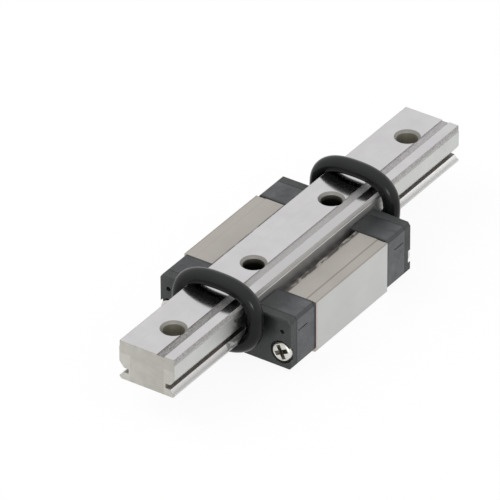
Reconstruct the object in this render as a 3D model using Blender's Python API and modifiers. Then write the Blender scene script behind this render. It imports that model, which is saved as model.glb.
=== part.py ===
"""Miniature linear guide: a recirculating ball block, with one ball circuit a side, on a 7 mm rail.

Metres, +Z up. The guide lies upside down, as on a bench: the block rests on its own mounting
face (z = 0), and the rail's mounting face looks up. X runs along the rail. The origin is the
middle of the block's mounting face.
"""

import math

import bmesh
import bpy
from mathutils import Matrix, Vector

MM = 0.001

# Rail
RAIL_LENGTH = 55.0 * MM
RAIL_WIDTH = 7.0 * MM
RAIL_HEIGHT = 4.8 * MM
RAIL_FRONT_REACH = 26.2 * MM  # from the block's middle to the rail's front end
RAIL_EDGE_CHAMFER = 0.22 * MM
RAIL_HOLE_PITCH = 15.0 * MM
RAIL_HOLE_FROM_END = 5.0 * MM
RAIL_BORE = 2.4 * MM
RAIL_COUNTERBORE = 4.2 * MM
RAIL_COUNTERBORE_DEPTH = 2.3 * MM
RAIL_BORE_CHAMFER = 0.3 * MM
DATUM_GROOVE_WIDTH = 0.95 * MM
DATUM_GROOVE_FROM_SIDE = 1.25 * MM
DATUM_GROOVE_DEPTH = 0.12 * MM
BASE_BAND_HEIGHT = 0.75 * MM
BASE_BAND_DEPTH = 0.06 * MM
WIRE_SLOT_WIDTH = 0.6 * MM
WIRE_SLOT_BACK_WIDTH = 0.56 * MM
WIRE_SLOT_DEPTH = 1.15 * MM

# Ball circuits
BALL = 1.5875 * MM
BALL_ROW_BELOW_RAIL_TOP = 1.2 * MM
BALL_ROW_OUTSIDE_RAIL = 0.25 * MM
RACE_CLEARANCE = 0.026 * MM
RACE_RELIEF = 0.25 * MM  # how far the rail's side is cut back past the raceway's mouth
RACE_RELIEF_DEPTH = 0.26 * MM
TURN_RADIUS = 1.1 * MM
TURN_CLEARANCE = 0.066 * MM
RETURN_BORE_CLEARANCE = 0.066 * MM
BALL_BITE = 0.06 * MM  # least depth to which neighbouring balls of a train run together

# Block
ASSEMBLY_HEIGHT = 8.0 * MM
RAIL_STANDS_PROUD = 1.5 * MM
BLOCK_WIDTH = 17.0 * MM
STEEL_LENGTH = 13.8 * MM
STEEL_BELOW_CAP_TOP = 0.05 * MM
CHANNEL_SIDE_GAP = 0.5 * MM
CHANNEL_FLOOR_GAP = 0.35 * MM
CHANNEL_MOUTH_FLARE = 0.4 * MM
CHANNEL_MOUTH_DEPTH = 0.6 * MM
CHANNEL_CORNER = 0.3 * MM
SKIRT_STRIP_WIDTH = 1.25 * MM
SKIRT_STRIP_STEP = 0.05 * MM
STEEL_FOOT_CHAMFER = 0.2 * MM
TAP_PITCH_ALONG = 8.0 * MM
TAP_PITCH_ACROSS = 12.0 * MM
TAP_DRILL = 1.6 * MM
TAP_ROOF = 0.56 * MM  # steel left between a tapped hole's point and the return bore
TAP_CHAMFER = 0.2 * MM
TAP_POINT_ANGLE = math.radians(118)

# End caps
CAP_LENGTH = 3.55 * MM
CAP_SIDE_INSET = 0.1 * MM
CAP_LIFT = 0.4 * MM
CAP_SHOULDER_ACROSS = 0.29 * MM
CAP_SHOULDER_DOWN = 0.42 * MM
CAP_FOOT_CHAMFER = 0.15 * MM
CAP_RAIL_CLEARANCE = 0.15 * MM
CAP_FLOOR_GAP = 0.2 * MM
CAP_JOINT_GAP = 0.05 * MM
CAP_SLIT_LENGTH = 1.8 * MM
CAP_SLIT_HEIGHT = 0.16 * MM
CAP_SLIT_DEPTH = 0.2 * MM
CAP_SLIT_FROM_FACE = 0.3 * MM
CAP_SLIT_ABOVE_ROW = 0.25 * MM

# Return guides, the half spools that the balls turn round
GUIDE_HEIGHT = 1.5 * MM
GUIDE_BALL_CLEARANCE = 0.05 * MM
GUIDE_SEAT_GAP = 0.03 * MM
GUIDE_RIM_GAP = 0.12 * MM

# Ball retainer wires
WIRE = 0.4 * MM
WIRE_BALL_GAP = 0.13 * MM
WIRE_BEND_RADIUS = 0.6 * MM
WIRE_TAIL = 2.6 * MM
WIRE_GROOVE_GAP = 0.08 * MM
WIRE_BEHIND_CAP_FACE = 0.35 * MM

# End seals
SEAL_THICKNESS = 1.1 * MM
SEAL_JOINT_GAP = 0.04 * MM
SEAL_BEVEL = 0.1 * MM
SEAL_RAIL_CLEARANCE = 0.08 * MM
PORT = 0.6 * MM
PORT_DEPTH = 0.5 * MM
PORT_FROM_SIDE = 1.1 * MM
PORT_FROM_TOP = 1.6 * MM

# Cap screws
SCREW_SHANK = 1.4 * MM
SCREW_LENGTH = 6.0 * MM
SCREW_HEAD = 2.3 * MM
SCREW_HEAD_HEIGHT = 0.55 * MM
SCREW_CROWN = 0.15 * MM
SCREW_POINT = 0.25 * MM
SCREW_HOLE_CLEARANCE = 0.08 * MM
SCREW_TAP_CLEARANCE = 0.04 * MM
SCREW_SEAT_GAP = 0.02 * MM
SCREW_POCKET_CLEARANCE = 0.26 * MM
SCREW_POCKET_DEPTH = 0.5 * MM
SCREW_FROM_SIDE = 1.2 * MM
SCREW_BELOW_MIDDLE = 0.12 * MM  # middle between the cap's foot and the ball row
CROSS_ARM = 1.85 * MM
CROSS_WIDTH = 0.42 * MM
CROSS_DEPTH = 0.35 * MM
CROSS_BOTTOM_SHARE = 0.6

# Rubber stop rings, stretched over the rail on either side of the block
RING_CORD = 1.9 * MM
RING_SIDE_ARCH = 1.285 * MM  # from the rail's side to the cord's middle
RING_BASE_ARCH = 1.355 * MM  # from the rail's mounting face to the cord's middle
RING_TOP_ARCH = 1.075 * MM  # from the rail's other face to the cord's middle
RING_SQUARENESS = 2.55
RING_SEAT_GAP = 0.02 * MM
FRONT_RING_FROM_SEAL = 0.425 * MM
REAR_RING_FROM_SEAL = 0.805 * MM
FRONT_RING_LEAN = 0.054
REAR_RING_LEAN = 0.031

CUT_PAST = 0.1 * MM
WELD = 0.0001 * MM
COUNT_SLACK = 0.001  # keeps a whole number of pitches whole
ROUND_STEPS = 20
FINE_ROUND_STEPS = 24
HOLE_STEPS = 32
SMALL_ROUND_STEPS = 12
RING_STEPS = 40
ARC_STEPS = 5
BALL_STEPS = 2
SHARP_ANGLE = math.radians(35)

HALF_STEEL = STEEL_LENGTH / 2
HALF_BLOCK = BLOCK_WIDTH / 2
HALF_RAIL = RAIL_WIDTH / 2
RAIL_LOW = ASSEMBLY_HEIGHT - RAIL_HEIGHT
CAP_TOP = ASSEMBLY_HEIGHT - RAIL_STANDS_PROUD
STEEL_TOP = CAP_TOP - STEEL_BELOW_CAP_TOP
HALF_CAP = HALF_BLOCK - CAP_SIDE_INSET
CAP_START = HALF_STEEL + CAP_JOINT_GAP
CAP_END = CAP_START + CAP_LENGTH
SEAL_START = CAP_END + SEAL_JOINT_GAP
SEAL_END = SEAL_START + SEAL_THICKNESS
ROW_Y = HALF_RAIL + BALL_ROW_OUTSIDE_RAIL
ROW_Z = RAIL_LOW + BALL_ROW_BELOW_RAIL_TOP
TURN_Y = ROW_Y + TURN_RADIUS
RETURN_Y = TURN_Y + TURN_RADIUS
RACE_RADIUS = BALL / 2 + RACE_CLEARANCE
RETURN_RADIUS = BALL / 2 + RETURN_BORE_CLEARANCE
TAP_POINT = TAP_DRILL / 2 / math.tan(TAP_POINT_ANGLE / 2)
TAP_DEPTH = ROW_Z - RETURN_RADIUS - TAP_ROOF - TAP_POINT
WIRE_Y = ROW_Y - BALL / 2 - WIRE_BALL_GAP - WIRE / 2
WIRE_END = CAP_END - WIRE_BEHIND_CAP_FACE
SCREW_Y = HALF_CAP - SCREW_FROM_SIDE
SCREW_Z = (CAP_LIFT + ROW_Z) / 2 - SCREW_BELOW_MIDDLE

ENDS = {"front": -1, "rear": 1}
SIDES = {"left": 1, "right": -1}
CROSS_TURNS = {
    ("front", "left"): math.radians(25),
    ("front", "right"): math.radians(27),
    ("rear", "left"): math.radians(80),
    ("rear", "right"): math.radians(10),
}

# Local X, Y and Z of an outline or a turned shape lie along the model's Y, Z and X
ALONG_RAIL = Matrix(((0, 0, 1, 0), (1, 0, 0, 0), (0, 1, 0, 0), (0, 0, 0, 1)))


def clear_scene():
    for obj in list(bpy.data.objects):
        bpy.data.objects.remove(obj, do_unlink=True)


def new_collection(name):
    collection = bpy.data.collections.new(name)
    bpy.context.scene.collection.children.link(collection)
    return collection


def finish(name, colour, roughness, metallic):
    material = bpy.data.materials.new(name)
    material.use_nodes = True
    shader = material.node_tree.nodes["Principled BSDF"]
    shader.inputs["Base Color"].default_value = (*colour, 1.0)
    shader.inputs["Roughness"].default_value = roughness
    shader.inputs["Metallic"].default_value = metallic
    material.diffuse_color = (*colour, 1.0)
    return material


def mesh_object(name, shape, place=None):
    mesh = bpy.data.meshes.new(name)
    shape.to_mesh(mesh)
    shape.free()
    obj = bpy.data.objects.new(name, mesh)
    CUTTERS.objects.link(obj)
    if place is not None:
        obj.matrix_world = place
    obj.hide_render = True
    obj.display_type = "WIRE"
    return obj


def as_mesh(name, holder):
    """The mesh of a curve object, with its caps welded, in the curve's place."""
    bpy.context.view_layer.update()
    graph = bpy.context.evaluated_depsgraph_get()
    mesh = bpy.data.meshes.new_from_object(holder.evaluated_get(graph))
    shape = bmesh.new()
    shape.from_mesh(mesh)
    bpy.data.meshes.remove(mesh)
    bmesh.ops.remove_doubles(shape, verts=shape.verts, dist=WELD)
    bmesh.ops.recalc_face_normals(shape, faces=shape.faces)
    place = holder.matrix_world.copy()
    bpy.data.objects.remove(holder, do_unlink=True)
    return mesh_object(name, shape, place)


def poly_spline(curve, points, closed):
    """A spline of straight runs through (x, y, z) points."""
    spline = curve.splines.new("POLY")
    spline.points.add(len(points) - 1)
    for point, place in zip(spline.points, points):
        point.co = (*place, 1)
    spline.use_cyclic_u = closed


def extruded(name, outline, start, end):
    """A flat outline of (y, z) points, run along the rail from start to end."""
    curve = bpy.data.curves.new(name, "CURVE")
    curve.dimensions = "2D"
    curve.fill_mode = "BOTH"
    curve.extrude = abs(end - start) / 2
    poly_spline(curve, [(across, up, 0) for across, up in outline], True)
    holder = bpy.data.objects.new(name + "_outline", curve)
    CUTTERS.objects.link(holder)
    holder.matrix_world = Matrix.Translation(((start + end) / 2, 0, 0)) @ ALONG_RAIL
    return as_mesh(name, holder)


def turned(name, profile, place, steps=ROUND_STEPS):
    """A profile of (radius, height) points, top to bottom, turned about its own Z axis."""
    shape = bmesh.new()
    points = [shape.verts.new((radius, 0, height)) for radius, height in profile]
    for first, second in zip(points, points[1:]):
        shape.edges.new((first, second))
    obj = mesh_object(name, shape, place)
    screw = obj.modifiers.new("Turn", "SCREW")
    screw.steps = steps
    screw.render_steps = steps
    screw.use_merge_vertices = True
    screw.merge_threshold = WELD
    return obj


def box(name, low, high):
    shape = bmesh.new()
    size = Vector(high) - Vector(low)
    middle = (Vector(high) + Vector(low)) / 2
    place = Matrix.Translation(middle) @ Matrix.Diagonal((*size, 1))
    bmesh.ops.create_cube(shape, size=1, matrix=place)
    return mesh_object(name, shape)


def combine(obj, other, operation="DIFFERENCE"):
    boolean = obj.modifiers.new(other.name, "BOOLEAN")
    boolean.object = other
    boolean.operation = operation
    boolean.solver = "EXACT"


def repeat(obj, step, count):
    array = obj.modifiers.new("Repeat", "ARRAY")
    array.use_relative_offset = False
    array.use_constant_offset = True
    array.constant_offset_displace = step
    array.count = count


def make_part(obj, material, parent=None):
    """Moves a finished shape from the cutters to the guide's own collection."""
    CUTTERS.objects.unlink(obj)
    GUIDE.objects.link(obj)
    obj.hide_render = False
    obj.display_type = "TEXTURED"
    obj.data.materials.clear()
    obj.data.materials.append(material)
    if parent is not None:
        bpy.context.view_layer.update()
        place = obj.matrix_world.copy()
        obj.parent = parent
        obj.matrix_world = place
    return obj


def smooth(obj):
    """Smooth shading on a round piece, with its real edges kept sharp."""
    obj.data.shade_smooth()
    obj.data.set_sharp_from_angle(angle=SHARP_ANGLE)


def anchor(name, location, parent=None):
    empty = bpy.data.objects.new(name, None)
    GUIDE.objects.link(empty)
    empty.location = location
    empty.parent = parent
    return empty


def mirrored(half):
    return [(-across, up) for across, up in reversed(half)]


def arc(centre, radius, start, end, steps=ARC_STEPS):
    """Points on a circle, from one angle to another."""
    angles = [start + (end - start) * step / steps for step in range(steps + 1)]
    return [
        (centre[0] + radius * math.cos(angle), centre[1] + radius * math.sin(angle))
        for angle in angles
    ]


def race_in_rail():
    """The raceway and the wire slot behind it, from the rail's counterbored face upwards."""
    mouth = math.acos(BALL_ROW_OUTSIDE_RAIL / RACE_RADIUS)
    slot = math.asin(WIRE_SLOT_WIDTH / 2 / RACE_RADIUS)
    floor = HALF_RAIL - WIRE_SLOT_DEPTH
    row = (ROW_Y, ROW_Z)
    low = arc(row, RACE_RADIUS, math.pi + mouth, math.pi + slot)
    relief = math.acos((BALL_ROW_OUTSIDE_RAIL + RACE_RELIEF_DEPTH) / RACE_RADIUS)
    high = arc(row, RACE_RADIUS, math.pi - slot, math.pi - relief)
    lip = (HALF_RAIL, ROW_Z + RACE_RADIUS * math.sin(mouth) + RACE_RELIEF)
    half_back = WIRE_SLOT_BACK_WIDTH / 2
    back = [(floor, ROW_Z - half_back), (floor, ROW_Z + half_back)]
    return low + back + high + [lip]


def rail_half(with_datum_groove):
    half = [
        (HALF_RAIL - RAIL_EDGE_CHAMFER, RAIL_LOW),
        (HALF_RAIL, RAIL_LOW + RAIL_EDGE_CHAMFER),
    ]
    half += race_in_rail()
    half += [
        (HALF_RAIL, ASSEMBLY_HEIGHT - BASE_BAND_HEIGHT),
        (HALF_RAIL - BASE_BAND_DEPTH, ASSEMBLY_HEIGHT - BASE_BAND_HEIGHT),
        (HALF_RAIL - BASE_BAND_DEPTH, ASSEMBLY_HEIGHT),
    ]
    if with_datum_groove:
        outer = HALF_RAIL - DATUM_GROOVE_FROM_SIDE
        inner = outer - DATUM_GROOVE_WIDTH
        floor = ASSEMBLY_HEIGHT - DATUM_GROOVE_DEPTH
        half += [(outer, ASSEMBLY_HEIGHT), (outer, floor), (inner, floor), (inner, ASSEMBLY_HEIGHT)]
    return half


def rail_hole_cutter():
    """One counterbored screw hole, repeated along the rail."""
    bore = RAIL_BORE / 2
    wide = RAIL_COUNTERBORE / 2
    mouth = bore + RAIL_BORE_CHAMFER + CUT_PAST
    step = RAIL_LOW + RAIL_COUNTERBORE_DEPTH
    profile = [
        (0, ASSEMBLY_HEIGHT + CUT_PAST),
        (mouth, ASSEMBLY_HEIGHT + CUT_PAST),
        (bore, ASSEMBLY_HEIGHT - RAIL_BORE_CHAMFER),
        (bore, step),
        (wide, step),
        (wide, RAIL_LOW - CUT_PAST),
        (0, RAIL_LOW - CUT_PAST),
    ]
    first = Matrix.Translation((RAIL_HOLE_FROM_END - RAIL_FRONT_REACH, 0, 0))
    cutter = turned("rail_hole_cutter", profile, first, HOLE_STEPS)
    spans = (RAIL_LENGTH - 2 * RAIL_HOLE_FROM_END) / RAIL_HOLE_PITCH
    repeat(cutter, (RAIL_HOLE_PITCH, 0, 0), int(spans + COUNT_SLACK) + 1)
    return cutter


def make_rail():
    outline = rail_half(False) + mirrored(rail_half(True))
    rail = extruded("rail", outline, -RAIL_FRONT_REACH, RAIL_LENGTH - RAIL_FRONT_REACH)
    combine(rail, rail_hole_cutter())
    make_part(rail, GROUND_STEEL)


def steel_half():
    """Half of the block's section: channel, raceway, skirt and foot."""
    wall = HALF_RAIL + CHANNEL_SIDE_GAP
    floor = RAIL_LOW - CHANNEL_FLOOR_GAP
    mouth = math.acos((wall - ROW_Y) / RACE_RADIUS)
    strip = HALF_BLOCK - SKIRT_STRIP_WIDTH
    low_top = STEEL_TOP - SKIRT_STRIP_STEP
    half = [(wall - CHANNEL_CORNER, floor), (wall, floor + CHANNEL_CORNER)]
    half += arc((ROW_Y, ROW_Z), RACE_RADIUS, -mouth, mouth, 2 * ARC_STEPS)
    half += [
        (wall, STEEL_TOP - CHANNEL_MOUTH_DEPTH),
        (wall + CHANNEL_MOUTH_FLARE, STEEL_TOP),
        (strip, STEEL_TOP),
        (strip, low_top),
        (HALF_BLOCK, low_top),
        (HALF_BLOCK, STEEL_FOOT_CHAMFER),
        (HALF_BLOCK - STEEL_FOOT_CHAMFER, 0),
    ]
    return half


def tap_cutter():
    """The four tapped holes of the block's mounting face, at their drill size."""
    drill = TAP_DRILL / 2
    profile = [
        (0, TAP_DEPTH + TAP_POINT),
        (drill, TAP_DEPTH),
        (drill, TAP_CHAMFER),
        (drill + TAP_CHAMFER + CUT_PAST, -CUT_PAST),
        (0, -CUT_PAST),
    ]
    corner = Matrix.Translation((-TAP_PITCH_ALONG / 2, -TAP_PITCH_ACROSS / 2, 0))
    cutter = turned("tap_cutter", profile, corner, SMALL_ROUND_STEPS)
    repeat(cutter, (TAP_PITCH_ALONG, 0, 0), 2)
    repeat(cutter, (0, TAP_PITCH_ACROSS, 0), 2)
    return cutter


def rod(name, radius, start, end, side, up, steps=ROUND_STEPS):
    """A round bar along the rail's direction, from one X to another."""
    low, high = sorted((start, end))
    profile = [(0, high), (radius, high), (radius, low), (0, low)]
    place = Matrix.Translation((0, side, up)) @ ALONG_RAIL
    return turned(name, profile, place, steps)


def make_block_body():
    half = steel_half()
    body = extruded("block_body", half + mirrored(half), -HALF_STEEL, HALF_STEEL)
    combine(body, tap_cutter())
    past = HALF_STEEL + CUT_PAST
    for side, way in SIDES.items():
        bore = rod(f"return_bore_{side}", RETURN_RADIUS, -past, past, way * RETURN_Y, ROW_Z)
        combine(body, bore)
    screw_tip = SEAL_END - SCREW_POCKET_DEPTH - SCREW_LENGTH
    tap_radius = SCREW_SHANK / 2 + SCREW_TAP_CLEARANCE
    for end, out in ENDS.items():
        for side, way in SIDES.items():
            bottom = out * (screw_tip - SCREW_POINT)
            name = f"cap_screw_tap_{end}_{side}"
            hole = rod(name, tap_radius, bottom, out * past, way * SCREW_Y, SCREW_Z, SMALL_ROUND_STEPS)
            combine(body, hole)
    make_part(body, BLOCK_STEEL, BLOCK)


def opening_half(clearance, floor_gap):
    """The wall round the rail, with the nose that reaches into its raceway."""
    wall = HALF_RAIL + clearance
    nose = RACE_RADIUS - clearance
    mouth = math.acos((ROW_Y - wall) / nose)
    half = [(wall, RAIL_LOW - floor_gap)]
    half += arc((ROW_Y, ROW_Z), nose, math.pi + mouth, math.pi - mouth, 2 * ARC_STEPS)
    half += [(wall, CAP_TOP)]
    return half


def end_plate_outline(clearance, floor_gap):
    half = opening_half(clearance, floor_gap)
    half += [
        (HALF_CAP - CAP_SHOULDER_ACROSS, CAP_TOP),
        (HALF_CAP, CAP_TOP - CAP_SHOULDER_DOWN),
        (HALF_CAP, CAP_LIFT + CAP_FOOT_CHAMFER),
        (HALF_CAP - CAP_FOOT_CHAMFER, CAP_LIFT),
    ]
    return half + mirrored(half)


def turn_cutter(name, out, way):
    """The half ring in which the balls turn back, cut as a full ring at the cap's inner face."""
    tunnel = BALL / 2 + TURN_CLEARANCE
    bpy.ops.mesh.primitive_torus_add(
        major_radius=TURN_RADIUS,
        minor_radius=tunnel,
        major_segments=FINE_ROUND_STEPS,
        minor_segments=SMALL_ROUND_STEPS,
        location=(out * HALF_STEEL, way * TURN_Y, ROW_Z),
    )
    ring = bpy.context.object
    ring.name = name
    for collection in list(ring.users_collection):
        collection.objects.unlink(ring)
    CUTTERS.objects.link(ring)
    ring.hide_render = True
    ring.display_type = "WIRE"
    return ring


def guide_outer_radius(height):
    """The guide's radius at a height above the ball row, hollowed to the ball."""
    reach = BALL / 2 + GUIDE_BALL_CLEARANCE
    return TURN_RADIUS - math.sqrt(reach**2 - height**2)


def guide_pocket(name, out, way):
    radius = guide_outer_radius(GUIDE_HEIGHT / 2) + GUIDE_RIM_GAP
    half = GUIDE_HEIGHT / 2 + GUIDE_SEAT_GAP
    profile = [(0, half), (radius, half), (radius, -half), (0, -half)]
    place = Matrix.Translation((out * HALF_STEEL, way * TURN_Y, ROW_Z))
    return turned(name, profile, place)


def wire_groove(name, out, way):
    """The groove in the cap's outer face that holds a retainer wire's bent tail."""
    gap = WIRE / 2 + WIRE_GROOVE_GAP
    tail_end = WIRE_Y + WIRE_TAIL + WIRE_GROOVE_GAP
    near, far = sorted((out * (WIRE_END - gap), out * (CAP_END + CUT_PAST)))
    inner, outer = sorted((way * (WIRE_Y - gap), way * tail_end))
    return box(name, (near, inner, ROW_Z - gap), (far, outer, ROW_Z + gap))


def side_slit(name, out, way):
    end = CAP_END - CAP_SLIT_FROM_FACE
    near, far = sorted((out * (end - CAP_SLIT_LENGTH), out * end))
    inner, outer = sorted((way * (HALF_CAP - CAP_SLIT_DEPTH), way * (HALF_CAP + CUT_PAST)))
    middle = ROW_Z + CAP_SLIT_ABOVE_ROW
    half = CAP_SLIT_HEIGHT / 2
    return box(name, (near, inner, middle - half), (far, outer, middle + half))


def screw_hole(name, out, way, start, end):
    radius = SCREW_SHANK / 2 + SCREW_HOLE_CLEARANCE
    inner = out * (start - CUT_PAST)
    outer = out * (end + CUT_PAST)
    return rod(name, radius, inner, outer, way * SCREW_Y, SCREW_Z, SMALL_ROUND_STEPS)


def make_end_cap(end, out):
    outline = end_plate_outline(CAP_RAIL_CLEARANCE, CAP_FLOOR_GAP)
    cap = extruded(f"end_cap_{end}", outline, out * CAP_START, out * CAP_END)
    for side, way in SIDES.items():
        where = f"{end}_{side}"
        combine(cap, turn_cutter(f"ball_turn_{where}", out, way))
        combine(cap, guide_pocket(f"guide_pocket_{where}", out, way))
        combine(cap, wire_groove(f"wire_groove_{where}", out, way))
        combine(cap, side_slit(f"side_slit_{where}", out, way))
        combine(cap, screw_hole(f"cap_screw_hole_{where}", out, way, CAP_START, CAP_END))
    make_part(cap, CAP_PLASTIC, BLOCK)


def make_return_guide(end, out, side, way):
    """A half spool: a full one is turned, and its half inside the steel is cut away."""
    steps = [step / ARC_STEPS - 1 for step in range(2 * ARC_STEPS + 1)]
    half = GUIDE_HEIGHT / 2
    profile = [(guide_outer_radius(step * half), -step * half) for step in steps]
    profile = [(0, half)] + profile + [(0, -half)]
    place = Matrix.Translation((out * HALF_STEEL, way * TURN_Y, ROW_Z))
    guide = turned(f"return_guide_{end}_{side}", profile, place)
    near, far = sorted((0, out * CAP_START))
    inner, outer = sorted((0, way * HALF_BLOCK))
    combine(guide, box(f"guide_back_{end}_{side}", (near, inner, 0), (far, outer, CAP_TOP)))
    make_part(guide, GUIDE_PLASTIC, BLOCK)
    smooth(guide)


def seal_chamfer(seal, out):
    """Bevels the seal plate's outer face along its top, shoulders and sides."""
    shape = bmesh.new()
    shape.from_mesh(seal.data)
    face_height = out * SEAL_THICKNESS / 2
    foot = CAP_LIFT + CAP_FOOT_CHAMFER + WELD
    chosen = []
    for edge in shape.edges:
        ends = [vertex.co for vertex in edge.verts]
        on_face = all(abs(co.z - face_height) < WELD for co in ends)
        outside = all(abs(co.x) > HALF_RAIL + SEAL_RAIL_CLEARANCE - WELD for co in ends)
        rim = all(co.y > CAP_TOP - WELD or abs(co.x) > HALF_CAP - WELD for co in ends)
        if on_face and outside and rim and max(co.y for co in ends) > foot:
            chosen.append(edge)
    bmesh.ops.bevel(
        shape, geom=chosen, offset=SEAL_BEVEL, segments=1, profile=0.5, affect="EDGES"
    )
    shape.to_mesh(seal.data)
    shape.free()


def make_end_seal(end, out):
    outline = end_plate_outline(SEAL_RAIL_CLEARANCE, SEAL_RAIL_CLEARANCE)
    seal = extruded(f"end_seal_{end}", outline, out * SEAL_START, out * SEAL_END)
    seal_chamfer(seal, out)
    pocket_radius = SCREW_HEAD / 2 + SCREW_POCKET_CLEARANCE
    past = out * (SEAL_END + CUT_PAST)
    for side, way in SIDES.items():
        where = f"{end}_{side}"
        floor = out * (SEAL_END - SCREW_POCKET_DEPTH)
        name = f"head_pocket_{where}"
        pocket = rod(name, pocket_radius, floor, past, way * SCREW_Y, SCREW_Z, HOLE_STEPS)
        combine(seal, pocket)
        combine(seal, screw_hole(f"seal_screw_hole_{where}", out, way, SEAL_START, SEAL_END))
        port_y = way * (HALF_CAP - PORT_FROM_SIDE)
        port_z = CAP_TOP - PORT_FROM_TOP
        bottom = out * (SEAL_END - PORT_DEPTH)
        name = f"port_{where}"
        combine(seal, rod(name, PORT / 2, bottom, past, port_y, port_z, SMALL_ROUND_STEPS))
    make_part(seal, SEAL_RUBBER, BLOCK)


def screw_profile():
    """Pan head and pointed shank, with the head's underside at height 0."""
    head = SCREW_HEAD / 2
    shank = SCREW_SHANK / 2
    crown = SCREW_CROWN
    return [
        (0, SCREW_HEAD_HEIGHT),
        (head - 2 * crown, SCREW_HEAD_HEIGHT),
        (head - crown / 2, SCREW_HEAD_HEIGHT - crown / 2),
        (head, SCREW_HEAD_HEIGHT - 2 * crown),
        (head, 0),
        (shank, 0),
        (shank, SCREW_POINT - SCREW_LENGTH),
        (shank - SCREW_POINT, -SCREW_LENGTH),
        (0, -SCREW_LENGTH),
    ]


def cross_bar(name, place, turn):
    """One bar of the cross recess, tapered towards its bottom."""
    shape = bmesh.new()
    height = CROSS_DEPTH + CUT_PAST
    middle = SCREW_HEAD_HEIGHT - CROSS_DEPTH + height / 2
    size = Matrix.Diagonal((CROSS_ARM, CROSS_WIDTH, height, 1))
    bar = Matrix.Translation((0, 0, middle)) @ Matrix.Rotation(turn, 4, "Z") @ size
    bmesh.ops.create_cube(shape, size=1, matrix=bar)
    for vertex in shape.verts:
        if vertex.co.z < middle:
            vertex.co.x *= CROSS_BOTTOM_SHARE
            vertex.co.y *= CROSS_BOTTOM_SHARE
    return mesh_object(name, shape, place)


def make_cap_screw(end, out, side, way):
    facing = Matrix.Rotation(math.radians(90) * out, 4, "Y")
    seat = SEAL_END - SCREW_POCKET_DEPTH + SCREW_SEAT_GAP
    spin = Matrix.Rotation(CROSS_TURNS[end, side], 4, "Z")
    place = Matrix.Translation((out * seat, way * SCREW_Y, SCREW_Z)) @ facing @ spin
    screw = turned(f"cap_screw_{end}_{side}", screw_profile(), place)
    for number, turn in enumerate((0, math.pi / 2)):
        combine(screw, cross_bar(f"cross_bar_{end}_{side}_{number}", place, turn))
    make_part(screw, SCREW_NICKEL, BLOCK)
    smooth(screw)


def circuit_length():
    return 2 * STEEL_LENGTH + 2 * math.pi * TURN_RADIUS


def on_circuit(run, way):
    """The place and the direction of travel at a distance along one ball circuit."""
    turn = math.pi * TURN_RADIUS
    run = run % circuit_length()
    if run < STEEL_LENGTH:
        return Vector((run - HALF_STEEL, way * ROW_Y, ROW_Z)), Vector((1, 0, 0))
    run -= STEEL_LENGTH
    if run < turn:
        angle = run / TURN_RADIUS
        out = HALF_STEEL + TURN_RADIUS * math.sin(angle)
        across = TURN_Y - TURN_RADIUS * math.cos(angle)
        heading = Vector((math.cos(angle), way * math.sin(angle), 0))
        return Vector((out, way * across, ROW_Z)), heading
    run -= turn
    if run < STEEL_LENGTH:
        return Vector((HALF_STEEL - run, way * RETURN_Y, ROW_Z)), Vector((-1, 0, 0))
    angle = (run - STEEL_LENGTH) / TURN_RADIUS
    out = -HALF_STEEL - TURN_RADIUS * math.sin(angle)
    across = TURN_Y + TURN_RADIUS * math.cos(angle)
    heading = Vector((-math.cos(angle), -way * math.sin(angle), 0))
    return Vector((out, way * across, ROW_Z)), heading


def ball_set(name, numbers, count, way):
    """Some balls of a circuit, each with a corner of its mesh facing the next ball."""
    shape = bmesh.new()
    for number in numbers:
        centre, heading = on_circuit(circuit_length() * number / count, way)
        facing = heading.to_track_quat("Z", "X").to_matrix().to_4x4()
        place = Matrix.Translation(centre) @ facing
        bmesh.ops.create_icosphere(shape, subdivisions=BALL_STEPS, radius=BALL / 2, matrix=place)
    return mesh_object(name, shape)


def make_ball_train(side, way):
    """One closed circuit of balls, every ball joined to the next where they touch."""
    count = math.ceil(circuit_length() / (BALL - BALL_BITE))
    paired = count - count % 2
    train = ball_set(f"balls_{side}", range(0, paired, 2), count, way)
    combine(train, ball_set(f"balls_{side}_between", range(1, paired, 2), count, way), "UNION")
    if count > paired:
        combine(train, ball_set(f"balls_{side}_last", [paired], count, way), "UNION")
    make_part(train, BALL_STEEL, BLOCK)
    smooth(train)


def make_retainer(side, way):
    """The wire that keeps the loaded balls in when the block is off its rail."""
    bend = arc((0, 0), WIRE_BEND_RADIUS, -math.pi / 2, 0)
    corner = [(WIRE_END - WIRE_BEND_RADIUS + x, WIRE_Y + WIRE_BEND_RADIUS + y) for x, y in bend]
    half = corner + [(WIRE_END, WIRE_Y + WIRE_TAIL)]
    points = [(-x, y) for x, y in reversed(half)] + half
    curve = bpy.data.curves.new(f"ball_retainer_{side}", "CURVE")
    curve.dimensions = "3D"
    curve.bevel_depth = WIRE / 2
    curve.bevel_resolution = 2
    curve.use_fill_caps = True
    poly_spline(curve, [(along, way * across, ROW_Z) for along, across in points], False)
    wire = bpy.data.objects.new(f"ball_retainer_{side}", curve)
    CUTTERS.objects.link(wire)
    make_part(wire, SPRING_STEEL, BLOCK)


def superellipse(half_width, half_height, steps):
    """Points round a square-shouldered oval."""
    power = 2 / RING_SQUARENESS
    points = []
    for step in range(steps):
        angle = 2 * math.pi * step / steps
        across, up = math.cos(angle), math.sin(angle)
        y = half_width * math.copysign(abs(across) ** power, across)
        z = half_height * math.copysign(abs(up) ** power, up)
        points.append((y, z))
    return points


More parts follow.
